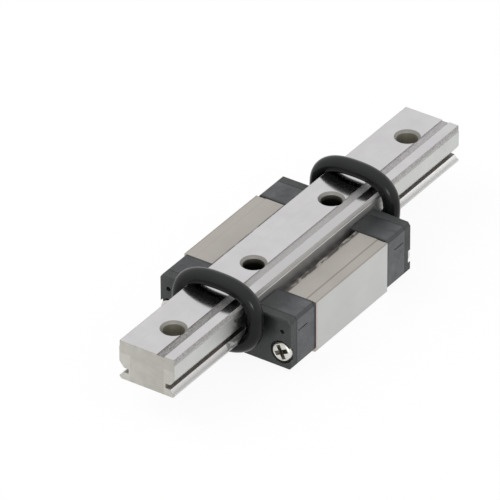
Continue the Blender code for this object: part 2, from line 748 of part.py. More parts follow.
def make_stop_ring(end, out, from_seal, lean):
    """A rubber ring that bears on the rail's four edges and arches clear of its faces."""
    top = ASSEMBLY_HEIGHT + RING_BASE_ARCH
    bottom = RAIL_LOW - RING_TOP_ARCH
    middle = (top + bottom) / 2
    curve = bpy.data.curves.new(f"stop_ring_{end}", "CURVE")
    curve.dimensions = "3D"
    curve.bevel_depth = RING_CORD / 2
    curve.bevel_resolution = 3
    outline = superellipse(HALF_RAIL + RING_SIDE_ARCH, (top - bottom) / 2, RING_STEPS)
    poly_spline(curve, [(lean * up, across, up) for across, up in outline], True)
    holder = bpy.data.objects.new(f"stop_ring_{end}_line", curve)
    CUTTERS.objects.link(holder)
    place = out * (SEAL_END + from_seal + RING_CORD / 2)
    holder.matrix_world = Matrix.Translation((place, 0, middle))
    ring = as_mesh(f"stop_ring_{end}", holder)
    gap = RING_SEAT_GAP
    low = (place - RING_CORD, -HALF_RAIL - gap, RAIL_LOW - gap)
    high = (place + RING_CORD, HALF_RAIL + gap, ASSEMBLY_HEIGHT + gap)
    combine(ring, box(f"rail_in_ring_{end}", low, high))
    make_part(ring, RING_RUBBER, anchor(f"stop_ring_{end}_slide", (place, 0, middle), BLOCK))
    smooth(ring)


clear_scene()
GUIDE = new_collection("miniature_linear_guide")
CUTTERS = new_collection("cutters")
BLOCK = anchor("block_slide", (0, 0, 0))

GROUND_STEEL = finish("ground_steel", (0.61, 0.60, 0.61), 0.32, 0.9)
BLOCK_STEEL = finish("block_steel", (0.42, 0.39, 0.36), 0.4, 0.85)
CAP_PLASTIC = finish("cap_plastic", (0.08, 0.082, 0.09), 0.5, 0.0)
GUIDE_PLASTIC = finish("guide_plastic", (0.75, 0.72, 0.64), 0.45, 0.0)
SEAL_RUBBER = finish("seal_rubber", (0.045, 0.05, 0.053), 0.55, 0.0)
RING_RUBBER = finish("ring_rubber", (0.025, 0.028, 0.03), 0.35, 0.0)
SCREW_NICKEL = finish("screw_nickel", (0.69, 0.67, 0.64), 0.28, 1.0)
SPRING_STEEL = finish("spring_steel", (0.6, 0.6, 0.6), 0.3, 1.0)
BALL_STEEL = finish("ball_steel", (0.75, 0.75, 0.76), 0.12, 1.0)

make_rail()
make_block_body()
for end_name, outward in ENDS.items():
    make_end_cap(end_name, outward)
    make_end_seal(end_name, outward)
    for side_name, sideward in SIDES.items():
        make_return_guide(end_name, outward, side_name, sideward)
        make_cap_screw(end_name, outward, side_name, sideward)
for side_name, sideward in SIDES.items():
    make_ball_train(side_name, sideward)
    make_retainer(side_name, sideward)
make_stop_ring("front", -1, FRONT_RING_FROM_SEAL, FRONT_RING_LEAN)
make_stop_ring("rear", 1, REAR_RING_FROM_SEAL, REAR_RING_LEAN)
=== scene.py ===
"""Dresses the miniature linear guide: ground rail, ball block, end caps, seals and stop rings.

Metres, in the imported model's frame. X runs along the rail, the visible side faces -Y, and the
guide lies on its block's mounting face at Z = 0, with the rail's mounting face up.
"""

import math
from types import SimpleNamespace

import bmesh
import bpy
from mathutils import Matrix, Vector


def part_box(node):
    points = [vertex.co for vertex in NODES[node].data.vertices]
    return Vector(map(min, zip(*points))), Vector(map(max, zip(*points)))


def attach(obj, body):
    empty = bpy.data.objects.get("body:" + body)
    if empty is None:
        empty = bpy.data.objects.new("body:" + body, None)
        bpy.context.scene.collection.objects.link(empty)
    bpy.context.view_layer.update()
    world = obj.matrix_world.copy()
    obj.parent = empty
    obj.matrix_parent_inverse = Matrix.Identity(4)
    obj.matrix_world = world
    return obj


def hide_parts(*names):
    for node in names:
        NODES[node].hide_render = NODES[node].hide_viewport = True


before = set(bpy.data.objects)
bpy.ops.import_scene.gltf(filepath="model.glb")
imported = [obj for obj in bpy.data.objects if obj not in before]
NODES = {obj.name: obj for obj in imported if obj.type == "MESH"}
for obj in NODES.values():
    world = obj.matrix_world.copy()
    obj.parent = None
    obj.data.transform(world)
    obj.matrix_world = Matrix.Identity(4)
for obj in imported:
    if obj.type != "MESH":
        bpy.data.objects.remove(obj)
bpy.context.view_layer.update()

MM = 0.001
BLOCK = "block"
ENDS = {"front": -1, "rear": 1}  # Which way each end faces along X
SIDES = ("left", "right")

# Camera
AZIMUTH = math.radians(55.80)
ELEVATION = math.radians(33.44)
ROLL = math.radians(-0.23)
DISTANCE = 801.3 * MM
MIDDLE_RIGHT = 3.82 * MM
MIDDLE_UP = -5.22 * MM
MIDDLE_ALONG = -0.11 * MM
LENS = 536.0
SENSOR = 36.0

# Sizes that the dressed pieces share with the CAD model
RAIL_LOW, RAIL_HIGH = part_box("rail")
RAIL_MIDDLE = (RAIL_LOW.x + RAIL_HIGH.x) / 2
RAIL_LENGTH = RAIL_HIGH.x - RAIL_LOW.x
RAIL_HEIGHT = RAIL_HIGH.z - RAIL_LOW.z
RAIL_SIDE = RAIL_HIGH.y
BASE_Z = RAIL_HIGH.z
BLOCK_LOW, BLOCK_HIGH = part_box("block_body")
STEEL_FRONT = BLOCK_LOW.x
STEEL_TOP = BLOCK_HIGH.z
BLOCK_SIDE = BLOCK_HIGH.y
CHANNEL_SIDE = 4.75 * MM
SKIRT_STRIP = 1.25 * MM
CAP_START, CAP_END = (corner.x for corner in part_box("end_cap_rear"))
GROOVE = (-2.25 * MM, -1.30 * MM)
GROOVE_DEPTH = 0.12 * MM
BASE_BAND = 0.75 * MM
HOLE_CHAMFER = 0.3 * MM
HOLE_REACH = 2.12 * MM
RACE_START = 1.5 * MM
RING_CORD = 1.9 * MM
RING_SQUARENESS = 2.55
RING_LEAN = {"front": 0.054, "rear": 0.031}
RING_SEAT_GAP = 0.02 * MM
RING_STEPS = 160
RING_LOW, RING_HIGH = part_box("stop_ring_front")
FRONT_RING_X = (RING_LOW.x + RING_HIGH.x) / 2
REAR_RING_X = sum(corner.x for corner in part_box("stop_ring_rear")) / 2
RING_Z = (RING_LOW.z + RING_HIGH.z) / 2
SCREW_HEAD = 2.3 * MM
SCREW_HEAD_HEIGHT = 0.55 * MM
SCREW_SHANK = 1.4 * MM
SCREW_LENGTH = 6.0 * MM
SCREW_POINT = 0.25 * MM
SCREW_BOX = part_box("cap_screw_rear_left")
SCREW_TOP = SCREW_BOX[1].x
SCREW_Y = (SCREW_BOX[0].y + SCREW_BOX[1].y) / 2
SCREW_Z = (SCREW_BOX[0].z + SCREW_BOX[1].z) / 2

# The cross recess. Its bars stand as far out of the head as they go in, and taper all the way.
CROSS_ARM = 1.85 * MM
CROSS_WIDTH = 0.42 * MM
CROSS_DEPTH = 0.35 * MM
CROSS_REACH = 1.0 * MM
CROSS_FLARE = (1.5, 1.7)
CROSS_TAPER = (0.3, 0.45)
CROSS_END_WIDTH = 0.8
CROSS_TURNS = {
    ("front", "left"): math.radians(25),
    ("front", "right"): math.radians(27),
    ("rear", "left"): math.radians(80),
    ("rear", "right"): math.radians(10),
}

# Edge radii
STEEL_EDGE = 0.07 * MM
CAP_EDGE = 0.12 * MM
SEAL_EDGE = 0.08 * MM
SCREW_CROWN = 0.24 * MM
SCREW_EDGE = 0.02 * MM
ROUNDED_FROM = math.radians(25)
SMOOTH_UP_TO = math.radians(30)

# Finishes
NOISE = (0.3, 0.7)  # The values that a noise texture mostly keeps to
GREASE_WANDER = 1.3 * MM

# Studio
LAMP_AIM = Vector((0, 0, 4 * MM))
FLOOR_SIZE = 6.0
FLOOR_DROP = 0.02 * MM
FLOOR_GLOW = 0.92
SKY_LIGHT = 0.75


# Material building

def add(tree, kind, values=None, **settings):
    """Adds a shader node, with its settings and its sockets' values."""
    made = tree.nodes.new(kind)
    for name, value in settings.items():
        setattr(made, name, value)
    for name, value in (values or {}).items():
        made.inputs[name].default_value = value
    return made


def join(tree, source, target):
    """Links an output to an input."""
    tree.links.new(source, target)


def maths(tree, operation, first, second=None, clamp=False):
    """A Math node on sockets or numbers. Returns its output."""
    made = add(tree, "ShaderNodeMath", operation=operation, use_clamp=clamp)
    for slot, value in zip(made.inputs, (first, second)):
        if value is None:
            continue
        if isinstance(value, (int, float)):
            slot.default_value = value
        else:
            join(tree, value, slot)
    return made.outputs[0]


def times(tree, *factors):
    """Multiplies sockets or numbers. Returns the product."""
    product = factors[0]
    for factor in factors[1:]:
        product = maths(tree, "MULTIPLY", product, factor)
    return product


def blend(tree, factor, first, second):
    """Mixes two colours, each a socket or a tuple. Returns the mixed colour."""
    made = add(tree, "ShaderNodeMix", data_type="RGBA")
    join(tree, factor, made.inputs["Factor"])
    for slot, value in ((made.inputs[6], first), (made.inputs[7], second)):
        if isinstance(value, tuple):
            slot.default_value = (*value, 1)
        else:
            join(tree, value, slot)
    return made.outputs[2]


def spread(tree, value, from_low, from_high, to_low, to_high, smooth=False):
    """Maps one range of numbers on to another. Returns the result."""
    ranges = {"From Min": from_low, "From Max": from_high, "To Min": to_low, "To Max": to_high}
    made = add(tree, "ShaderNodeMapRange", ranges,
               interpolation_type="SMOOTHSTEP" if smooth else "LINEAR")
    join(tree, value, made.inputs["Value"])
    return made.outputs[0]


def noise(tree, place, **values):
    """A noise texture. Returns its value."""
    made = add(tree, "ShaderNodeTexNoise", values)
    join(tree, place, made.inputs["Vector"])
    return made.outputs["Fac"]


def group_of(name, inputs, outputs):
    """An empty shader node group with named sockets, and its two end nodes."""
    tree = bpy.data.node_groups.new(name, "ShaderNodeTree")
    for socket, kind, default in inputs:
        made = tree.interface.new_socket(socket, in_out="INPUT", socket_type=kind)
        if default is not None:
            made.default_value = default
    for socket, kind in outputs:
        tree.interface.new_socket(socket, in_out="OUTPUT", socket_type=kind)
    return tree, tree.nodes.new("NodeGroupInput"), tree.nodes.new("NodeGroupOutput")


def use(tree, group, **values):
    """Places a node group in a material, with its own values or sockets."""
    made = add(tree, "ShaderNodeGroup", node_tree=group)
    for name, value in values.items():
        slot = made.inputs[name.replace("_", " ")]
        if isinstance(value, (int, float)):
            slot.default_value = value
        else:
            join(tree, value, slot)
    return made.outputs


FLOAT, VECTOR = "NodeSocketFloat", "NodeSocketVector"


def build_grind_lines():
    """Fine lines that a grinding wheel leaves along the rail, and the patches between them."""
    inputs = [
        ("Place", VECTOR, None),
        ("Along", FLOAT, 60.0),
        ("Across", FLOAT, 5000.0),
        ("Patch", FLOAT, 250.0),
    ]
    tree, start, end = group_of("grind_lines", inputs, [("Line", FLOAT), ("Patch", FLOAT)])
    stretch = add(tree, "ShaderNodeCombineXYZ")
    join(tree, start.outputs["Along"], stretch.inputs["X"])
    join(tree, start.outputs["Across"], stretch.inputs["Y"])
    join(tree, start.outputs["Across"], stretch.inputs["Z"])
    scaled = add(tree, "ShaderNodeVectorMath", operation="MULTIPLY")
    join(tree, start.outputs["Place"], scaled.inputs[0])
    join(tree, stretch.outputs[0], scaled.inputs[1])
    lines = add(tree, "ShaderNodeTexNoise", {"Scale": 1.0, "Detail": 3.0, "Roughness": 0.6})
    join(tree, scaled.outputs[0], lines.inputs["Vector"])
    join(tree, lines.outputs["Fac"], end.inputs["Line"])
    patches = add(tree, "ShaderNodeTexNoise", {"Detail": 4.0, "Roughness": 0.55})
    join(tree, start.outputs["Place"], patches.inputs["Vector"])
    join(tree, start.outputs["Patch"], patches.inputs["Scale"])
    join(tree, patches.outputs["Fac"], end.inputs["Patch"])
    return tree


def build_mould_grain():
    """The fine pebble of a spark-eroded mould, with slow cloudiness and light specks of dust."""
    inputs = [
        ("Place", VECTOR, None),
        ("Grain", FLOAT, 6000.0),
        ("Cloud", FLOAT, 300.0),
        ("Specks", FLOAT, 900.0),
    ]
    outputs = [("Grain", FLOAT), ("Cloud", FLOAT), ("Speck", FLOAT)]
    tree, start, end = group_of("mould_grain", inputs, outputs)
    grain = add(tree, "ShaderNodeTexNoise", {"Detail": 2.0, "Roughness": 0.5})
    cloud = add(tree, "ShaderNodeTexNoise", {"Detail": 3.0, "Roughness": 0.5})
    specks = add(tree, "ShaderNodeTexVoronoi", {"Randomness": 1.0})
    for texture, size in ((grain, "Grain"), (cloud, "Cloud"), (specks, "Specks")):
        join(tree, start.outputs["Place"], texture.inputs["Vector"])
        join(tree, start.outputs[size], texture.inputs["Scale"])
    join(tree, grain.outputs["Fac"], end.inputs["Grain"])
    join(tree, cloud.outputs["Fac"], end.inputs["Cloud"])
    near = spread(tree, specks.outputs["Distance"], 0.04, 0.1, 1.0, 0.0, smooth=True)
    pick = add(tree, "ShaderNodeSeparateColor")
    join(tree, specks.outputs["Color"], pick.inputs[0])
    rare = maths(tree, "GREATER_THAN", pick.outputs[0], 0.93)
    join(tree, times(tree, near, rare), end.inputs["Speck"])
    return tree


def build_band():
    """A soft-edged band between two values."""
    inputs = [
        ("Value", FLOAT, 0.0),
        ("Low", FLOAT, 0.0),
        ("High", FLOAT, 1.0),
        ("Edge", FLOAT, 0.03 * MM),
    ]
    tree, start, end = group_of("band", inputs, [("Mask", FLOAT)])
    value, low, high, edge = (start.outputs[name] for name in ("Value", "Low", "High", "Edge"))
    above = maths(tree, "DIVIDE", maths(tree, "SUBTRACT", value, low), edge, clamp=True)
    below = maths(tree, "DIVIDE", maths(tree, "SUBTRACT", high, value), edge, clamp=True)
    join(tree, times(tree, above, below), end.inputs["Mask"])
    return tree


def build_edge_wear():
    """Where a surface turns over an edge, broken up by noise."""
    inputs = [
        ("Place", VECTOR, None),
        ("Radius", FLOAT, 0.12 * MM),
        ("Noise", FLOAT, 3000.0),
    ]
    tree, start, end = group_of("edge_wear", inputs, [("Wear", FLOAT)])
    rounded = add(tree, "ShaderNodeBevel", samples=4)
    join(tree, start.outputs["Radius"], rounded.inputs["Radius"])
    surface = add(tree, "ShaderNodeNewGeometry")
    same = add(tree, "ShaderNodeVectorMath", operation="DOT_PRODUCT")
    join(tree, rounded.outputs[0], same.inputs[0])
    join(tree, surface.outputs["Normal"], same.inputs[1])
    edge = spread(tree, same.outputs["Value"], 0.8, 0.995, 1.0, 0.0)
    crumble = add(tree, "ShaderNodeTexNoise", {"Detail": 3.0})
    join(tree, start.outputs["Place"], crumble.inputs["Vector"])
    join(tree, start.outputs["Noise"], crumble.inputs["Scale"])
    broken = spread(tree, crumble.outputs["Fac"], 0.35, 0.65, 0.35, 1.0)
    join(tree, maths(tree, "MULTIPLY", edge, broken, clamp=True), end.inputs["Wear"])
    return tree


GRIND_LINES = build_grind_lines()
MOULD_GRAIN = build_mould_grain()
BAND = build_band()
EDGE_WEAR = build_edge_wear()


def start_finish(name, **sockets):
    """A new material with its constant sockets set. Returns it, its tree, shader and place."""
    material = bpy.data.materials.new(name)
    material.use_nodes = True
    tree = material.node_tree
    shader = tree.nodes["Principled BSDF"]
    for socket, value in sockets.items():
        shader.inputs[socket.replace("_", " ")].default_value = value
    place = add(tree, "ShaderNodeTexCoord").outputs["Object"]
    return material, tree, shader, place


def split(tree, vector):
    """The three parts of a vector."""
    parts = add(tree, "ShaderNodeSeparateXYZ")
    join(tree, vector, parts.inputs[0])
    return parts.outputs


def surface_normal(tree):
    """The three parts of the surface's smooth normal."""
    return split(tree, add(tree, "ShaderNodeNewGeometry").outputs["Normal"])


def complete(tree, shader, colour, rough, height, depth):
    """Feeds the shader its colour, roughness and bump, with the bump's depth in metres."""
    join(tree, colour, shader.inputs["Base Color"])
    join(tree, rough, shader.inputs["Roughness"])
    bump = add(tree, "ShaderNodeBump", {"Strength": 1.0, "Distance": depth})
    join(tree, height, bump.inputs["Height"])
    join(tree, bump.outputs[0], shader.inputs["Normal"])


# Finishes

def measure_rail(tree, place):
    """The places on the rail that its finish goes by."""
    x, y, z = split(tree, place)
    off_middle = maths(tree, "ABSOLUTE", y)
    from_middle = maths(tree, "ABSOLUTE", maths(tree, "SUBTRACT", x, RAIL_MIDDLE))
    return SimpleNamespace(
        x=x,
        y=y,
        off_middle=off_middle,
        depth=maths(tree, "SUBTRACT", BASE_Z, z),
        end=maths(tree, "GREATER_THAN", from_middle, RAIL_LENGTH / 2 - 0.03 * MM),
        side=maths(tree, "GREATER_THAN", off_middle, RAIL_SIDE - 0.1 * MM),
        past_holes=maths(tree, "GREATER_THAN", off_middle, HOLE_REACH + 0.03 * MM),
        along=spread(tree, x, RAIL_LOW.x, RAIL_HIGH.x, 0.0, 1.0),
        middle_length=spread(tree, from_middle, 10.0 * MM, 14.0 * MM, 1.0, 0.0),
        bore_shade_zone=spread(tree, from_middle, 14.0 * MM, 17.0 * MM, 1.0, 0.0),
    )


def ground_faces(tree, at, ground):
    """The rail's mounting face and sides, with painted light on the sides along the middle
    length, in the block's channel.
    """
    tone = spread(tree, ground["Patch"], *NOISE, 0.0, 1.0)
    colour = blend(tree, tone, (0.565, 0.553, 0.565), (0.615, 0.605, 0.614))
    line = spread(tree, ground["Line"], 0.35, 0.65, 0.0, 0.1)
    colour = blend(tree, line, colour, (0.50, 0.49, 0.50))
    strip = times(tree, at.middle_length, maths(tree, "LESS_THAN", at.y, GROOVE[0]))
    colour = blend(tree, times(tree, strip, 0.7), colour, (0.50, 0.49, 0.495))
    side_tone = blend(tree, tone, (0.555, 0.565, 0.545), (0.61, 0.617, 0.597))
    # Painted light: the sides are paler along the middle length, against the shade inside the
    # block's channel.
    side_tone = blend(tree, at.middle_length, side_tone, (0.68, 0.675, 0.66))
    return blend(tree, at.side, colour, side_tone)


def base_band(tree, at, fine, colour):
    """The rough band under the mounting face, with an uneven lower edge."""
    speckle = spread(tree, fine["Line"], 0.38, 0.6, 0.0, 1.0)
    low = maths(tree, "SUBTRACT", BASE_BAND, times(tree, fine["Patch"], 0.3 * MM))
    band = spread(tree, maths(tree, "SUBTRACT", at.depth, low), -0.1 * MM, 0.3 * MM, 1.0, 0.0)
    band = times(tree, band, at.side)
    tone = blend(tree, speckle, (0.32, 0.31, 0.305), (0.47, 0.46, 0.455))
    # Painted light: the band is paler along the middle length, inside the block's channel.
    tone = blend(tree, times(tree, at.middle_length, 0.8), tone, (0.63, 0.62, 0.61))
    return blend(tree, band, colour, tone), band


def datum_groove(tree, at, fine, colour):
    """The milled datum groove, paler towards the rail's rear end."""
    speckle = spread(tree, fine["Line"], 0.38, 0.6, 0.0, 1.0)
    low, high = GROOVE
    groove = use(tree, BAND, Value=at.y, Low=low - 0.02 * MM, High=high + 0.02 * MM)["Mask"]
    groove = times(tree, groove, maths(tree, "LESS_THAN", at.depth, GROOVE_DEPTH + 0.05 * MM))
    front_tone = blend(tree, speckle, (0.22, 0.212, 0.208), (0.375, 0.365, 0.36))
    rear_tone = blend(tree, speckle, (0.39, 0.375, 0.38), (0.50, 0.485, 0.49))
    tone = blend(tree, at.along, front_tone, rear_tone)
    tone = blend(tree, times(tree, at.middle_length, 0.6), tone, (0.47, 0.46, 0.455))
    return blend(tree, groove, colour, tone), groove


def raceways(tree, at, colour):
    """The ball raceways and the lips under them, with painted shade on their upward faces, in
    the wire slots behind them and under the overhanging edge.
    """
    race = spread(tree, at.off_middle, RAIL_SIDE - 0.02 * MM, RAIL_SIDE - 0.12 * MM, 0.0, 1.0)
    race = times(tree, race, maths(tree, "GREATER_THAN", at.depth, RACE_START), at.past_holes)
    tone = blend(tree, at.along, (0.73, 0.715, 0.71), (0.97, 0.96, 0.955))
    normal = surface_normal(tree)
    # Painted shade: the raceways are darker on the faces that turn upwards.
    upward_shade = spread(tree, normal["Z"], 0.45, 0.9, 0.0, 0.8)
    tone = blend(tree, upward_shade, tone, (0.50, 0.49, 0.485))
    colour = blend(tree, race, colour, tone)
    # Painted shade: dark in the wire slots and in the raceways' upper part under the overhanging
    # edge.
    slot = spread(tree, at.off_middle, RAIL_SIDE - 0.50 * MM, RAIL_SIDE - 0.53 * MM, 0.0, 1.0)
    overhang_shade = spread(tree, at.depth, 3.1 * MM, 3.3 * MM, 1.0, 0.0)
    slot = times(tree, maths(tree, "MAXIMUM", slot, overhang_shade), race)
    return blend(tree, slot, colour, (0.21, 0.195, 0.18)), race, slot


def sawn_ends(tree, at, place, sawn, colour):
    """The sawn ends, mottled, with faint rings of the blade, and darker to the right."""
    mottle = spread(tree, sawn["Patch"], *NOISE, 0.0, 1.0)
    tone = blend(tree, mottle, (0.465, 0.455, 0.42), (0.53, 0.52, 0.475))
    swirl = add(tree, "ShaderNodeTexWave", {"Scale": 420.0, "Distortion": 7.0, "Detail": 2.0},
                wave_type="RINGS", rings_direction="X")
    join(tree, place, swirl.inputs["Vector"])
    trace = spread(tree, swirl.outputs["Fac"], 0.86, 1.0, 0.0, 0.3)
    trace = times(tree, trace, spread(tree, at.y, 0.5 * MM, -1.5 * MM, 0.0, 1.0))
    tone = blend(tree, trace, tone, (0.40, 0.395, 0.35))
    shade = spread(tree, at.y, 1.0 * MM, -3.5 * MM, 0.0, 0.35)
    tone = blend(tree, shade, tone, (0.40, 0.39, 0.355))
    return blend(tree, at.end, colour, tone)


def screw_holes(tree, at, groove, colour):
    """The screw holes: chamfers, and bores with painted shade, darker with depth and near black
    towards the rail's middle.
    """
    hole = times(
        tree,
        maths(tree, "LESS_THAN", at.off_middle, HOLE_REACH),
        maths(tree, "GREATER_THAN", at.depth, 0.01 * MM),
        maths(tree, "SUBTRACT", 1.0, groove),
        maths(tree, "SUBTRACT", 1.0, at.end),
        maths(tree, "LESS_THAN", at.depth, RAIL_HEIGHT),
    )
    down = spread(tree, at.depth, HOLE_CHAMFER - 0.03 * MM, HOLE_CHAMFER + 0.05 * MM, 0.0, 1.0)
    # Painted shade: the bores darken with depth, and go near black near the rail's middle, where
    # the block keeps out light from below.
    dark = spread(tree, at.depth, 0.3 * MM, 2.6 * MM, 0.0, 1.0)
    bore_tone = blend(tree, dark, (0.30, 0.29, 0.235), (0.17, 0.16, 0.12))
    bore_shade = times(tree, at.bore_shade_zone, spread(tree, at.depth, 0.35 * MM, 0.9 * MM, 0.5, 1.0))
    bore_tone = blend(tree, bore_shade, bore_tone, (0.012, 0.011, 0.009))
    tone = blend(tree, down, (0.27, 0.26, 0.24), bore_tone)
    return blend(tree, hole, colour, tone), hole


def ring_grease(tree, at, place, slot, colour):
    """Grease on the rail's sides near the rings' places, with bright specks in it, and the
    painted shade in the wire slots made deeper there.
    """
    wander = spread(tree, noise(tree, place, Scale=800.0, Detail=6.0, Roughness=0.65), *NOISE,
                    -GREASE_WANDER, GREASE_WANDER)
    wandering_x = maths(tree, "ADD", at.x, wander)
    front_x = maths(tree, "SUBTRACT", wandering_x, FRONT_RING_X)
    rear_x = maths(tree, "SUBTRACT", wandering_x, REAR_RING_X)
    thin = use(tree, BAND, Value=front_x, Low=-4.0 * MM, High=0.9 * MM, Edge=3.0 * MM)["Mask"]
    front = use(tree, BAND, Value=front_x, Low=-1.9 * MM, High=1.4 * MM, Edge=0.8 * MM)["Mask"]
    rear = use(tree, BAND, Value=rear_x, Low=-3.0 * MM, High=1.9 * MM, Edge=1.2 * MM)["Mask"]
    thick = maths(tree, "MAXIMUM", front, times(tree, rear, 0.6))
    streak = use(tree, GRIND_LINES, Place=place, Along=900.0, Across=3800.0, Patch=1300.0)
    amount = times(tree, maths(tree, "MAXIMUM", thin, thick), 0.45)
    blotch = spread(tree, maths(tree, "ADD", streak["Patch"], amount), 0.66, 0.82, 0.0, 0.6)
    uneven_depth = maths(tree, "ADD", at.depth, times(tree, wander, 0.5))
    high_side = times(tree, thick, spread(tree, uneven_depth, 0.6 * MM, 1.2 * MM, 0.0, 1.0))
    low_side = spread(tree, at.depth, 1.4 * MM, 2.6 * MM, 0.0, 1.0)
    wet_side = times(tree, maths(tree, "MAXIMUM", low_side, high_side), at.past_holes)
    stronger = maths(tree, "ADD", 1.0, times(tree, thick, 0.3))
    colour = blend(tree, times(tree, blotch, stronger, wet_side), colour, (0.03, 0.032, 0.03))
    # Painted shade: the wire slots go near black beside the rings' places.
    colour = blend(tree, times(tree, slot, thick), colour, (0.02, 0.02, 0.018))
    sparkle = use(tree, MOULD_GRAIN, Place=place, Specks=1500.0)["Speck"]
    return blend(tree, times(tree, sparkle, thick, wet_side), colour, (0.80, 0.84, 0.83))


def ground_rail_steel():
    """Ground hardened steel, with sawn ends, a milled datum groove, and screw holes with painted
    shade.
    """
    material, tree, shader, place = start_finish("ground_rail_steel", Metallic=1.0)
    at = measure_rail(tree, place)
    ground = use(tree, GRIND_LINES, Place=place, Along=110.0, Across=2400.0, Patch=420.0)
    fine = use(tree, GRIND_LINES, Place=place, Along=4600.0, Across=6800.0, Patch=2600.0)
    sawn = use(tree, GRIND_LINES, Place=place, Along=700.0, Across=700.0, Patch=900.0)

    colour = ground_faces(tree, at, ground)
    colour, band = base_band(tree, at, fine, colour)
    colour, groove = datum_groove(tree, at, fine, colour)
    colour, race, slot = raceways(tree, at, colour)
    colour = sawn_ends(tree, at, place, sawn, colour)
    colour, hole = screw_holes(tree, at, groove, colour)
    colour = ring_grease(tree, at, place, slot, colour)
    rim = use(tree, EDGE_WEAR, Place=place, Radius=0.1 * MM, Noise=4200.0)["Wear"]
    colour = blend(tree, times(tree, rim, rim, at.end, 0.8), colour, (0.20, 0.165, 0.145))

    rough = spread(tree, ground["Patch"], *NOISE, 0.10, 0.16)
    for mask, value in ((at.side, 0.42), (band, 0.7), (groove, 0.55), (race, 0.5), (hole, 0.55),
                        (at.end, 0.6)):
        rough = maths(tree, "MAXIMUM", rough, times(tree, mask, value))
    dull = maths(tree, "MAXIMUM", times(tree, race, 0.85), times(tree, hole, 0.3))
    join(tree, maths(tree, "SUBTRACT", 1.0, dull), shader.inputs["Metallic"])
    height = maths(tree, "ADD", times(tree, ground["Line"], 0.3),
                   times(tree, at.end, sawn["Line"]))
    complete(tree, shader, colour, rough, height, 0.0012 * MM)
    return material


def warm_block_steel():
    """The block's hardened steel: satin sides, and warmer ground skirts."""
    material, tree, shader, place = start_finish("warm_block_steel", Metallic=0.8)
    x, y, z = split(tree, place)
    lines = use(tree, GRIND_LINES, Place=place, Along=120.0, Across=1800.0, Patch=160.0)
    tone = spread(tree, lines["Patch"], *NOISE, 0.0, 1.0)
    side_tone = blend(tree, tone, (0.495, 0.502, 0.488), (0.54, 0.547, 0.532))
    skirt_tone = blend(tree, tone, (0.385, 0.360, 0.332), (0.43, 0.404, 0.372))
    skirt = spread(tree, z, STEEL_TOP - 0.16 * MM, STEEL_TOP - 0.1 * MM, 0.0, 1.0)
    near_edge = spread(tree, x, STEEL_FRONT + 0.42 * MM, STEEL_FRONT + 0.22 * MM, 0.0, 0.65)
    side_tone = blend(tree, near_edge, side_tone, (0.50, 0.42, 0.375))
    colour = blend(tree, skirt, side_tone, skirt_tone)
    off_middle = maths(tree, "ABSOLUTE", y)
    inner = maths(tree, "LESS_THAN", off_middle, CHANNEL_SIDE)
    below = spread(tree, z, STEEL_TOP - 0.12 * MM, STEEL_TOP - 0.35 * MM, 0.0, 1.0)
    colour = blend(tree, times(tree, inner, below), colour, (0.72, 0.71, 0.69))

    # Painted shade in the line beside each skirt's raised strip, stronger on the right; its
    # outer edge; and darker broken patches by the channel
    seam_shade = use(tree, BAND, Value=off_middle, Low=BLOCK_SIDE - SKIRT_STRIP - 0.12 * MM,
               High=BLOCK_SIDE - SKIRT_STRIP + 0.07 * MM, Edge=0.05 * MM)["Mask"]
    seam_shade = times(tree, seam_shade, skirt, spread(tree, y, -1.0 * MM, 1.0 * MM, 0.55, 0.12))
    colour = blend(tree, seam_shade, colour, (0.15, 0.13, 0.115))
    outer = spread(tree, off_middle, BLOCK_SIDE - 0.20 * MM, BLOCK_SIDE - 0.12 * MM, 0.0, 0.5)
    colour = blend(tree, times(tree, outer, skirt), colour, (0.27, 0.225, 0.20))
    by_channel = spread(tree, off_middle, CHANNEL_SIDE + 0.05 * MM, CHANNEL_SIDE + 0.22 * MM,
                        1.0, 0.0)
    channel_edge_noise = use(tree, GRIND_LINES, Place=place, Along=900.0, Across=2600.0, Patch=1500.0)
    channel_edge_dark = times(tree, by_channel, spread(tree, channel_edge_noise["Line"], 0.36, 0.50, 0.0, 0.95))
    colour = blend(tree, channel_edge_dark, colour, (0.06, 0.055, 0.05))
    rough = spread(tree, lines["Line"], *NOISE, 0.34, 0.4)
    complete(tree, shader, colour, rough, lines["Line"], 0.0008 * MM)
    return material


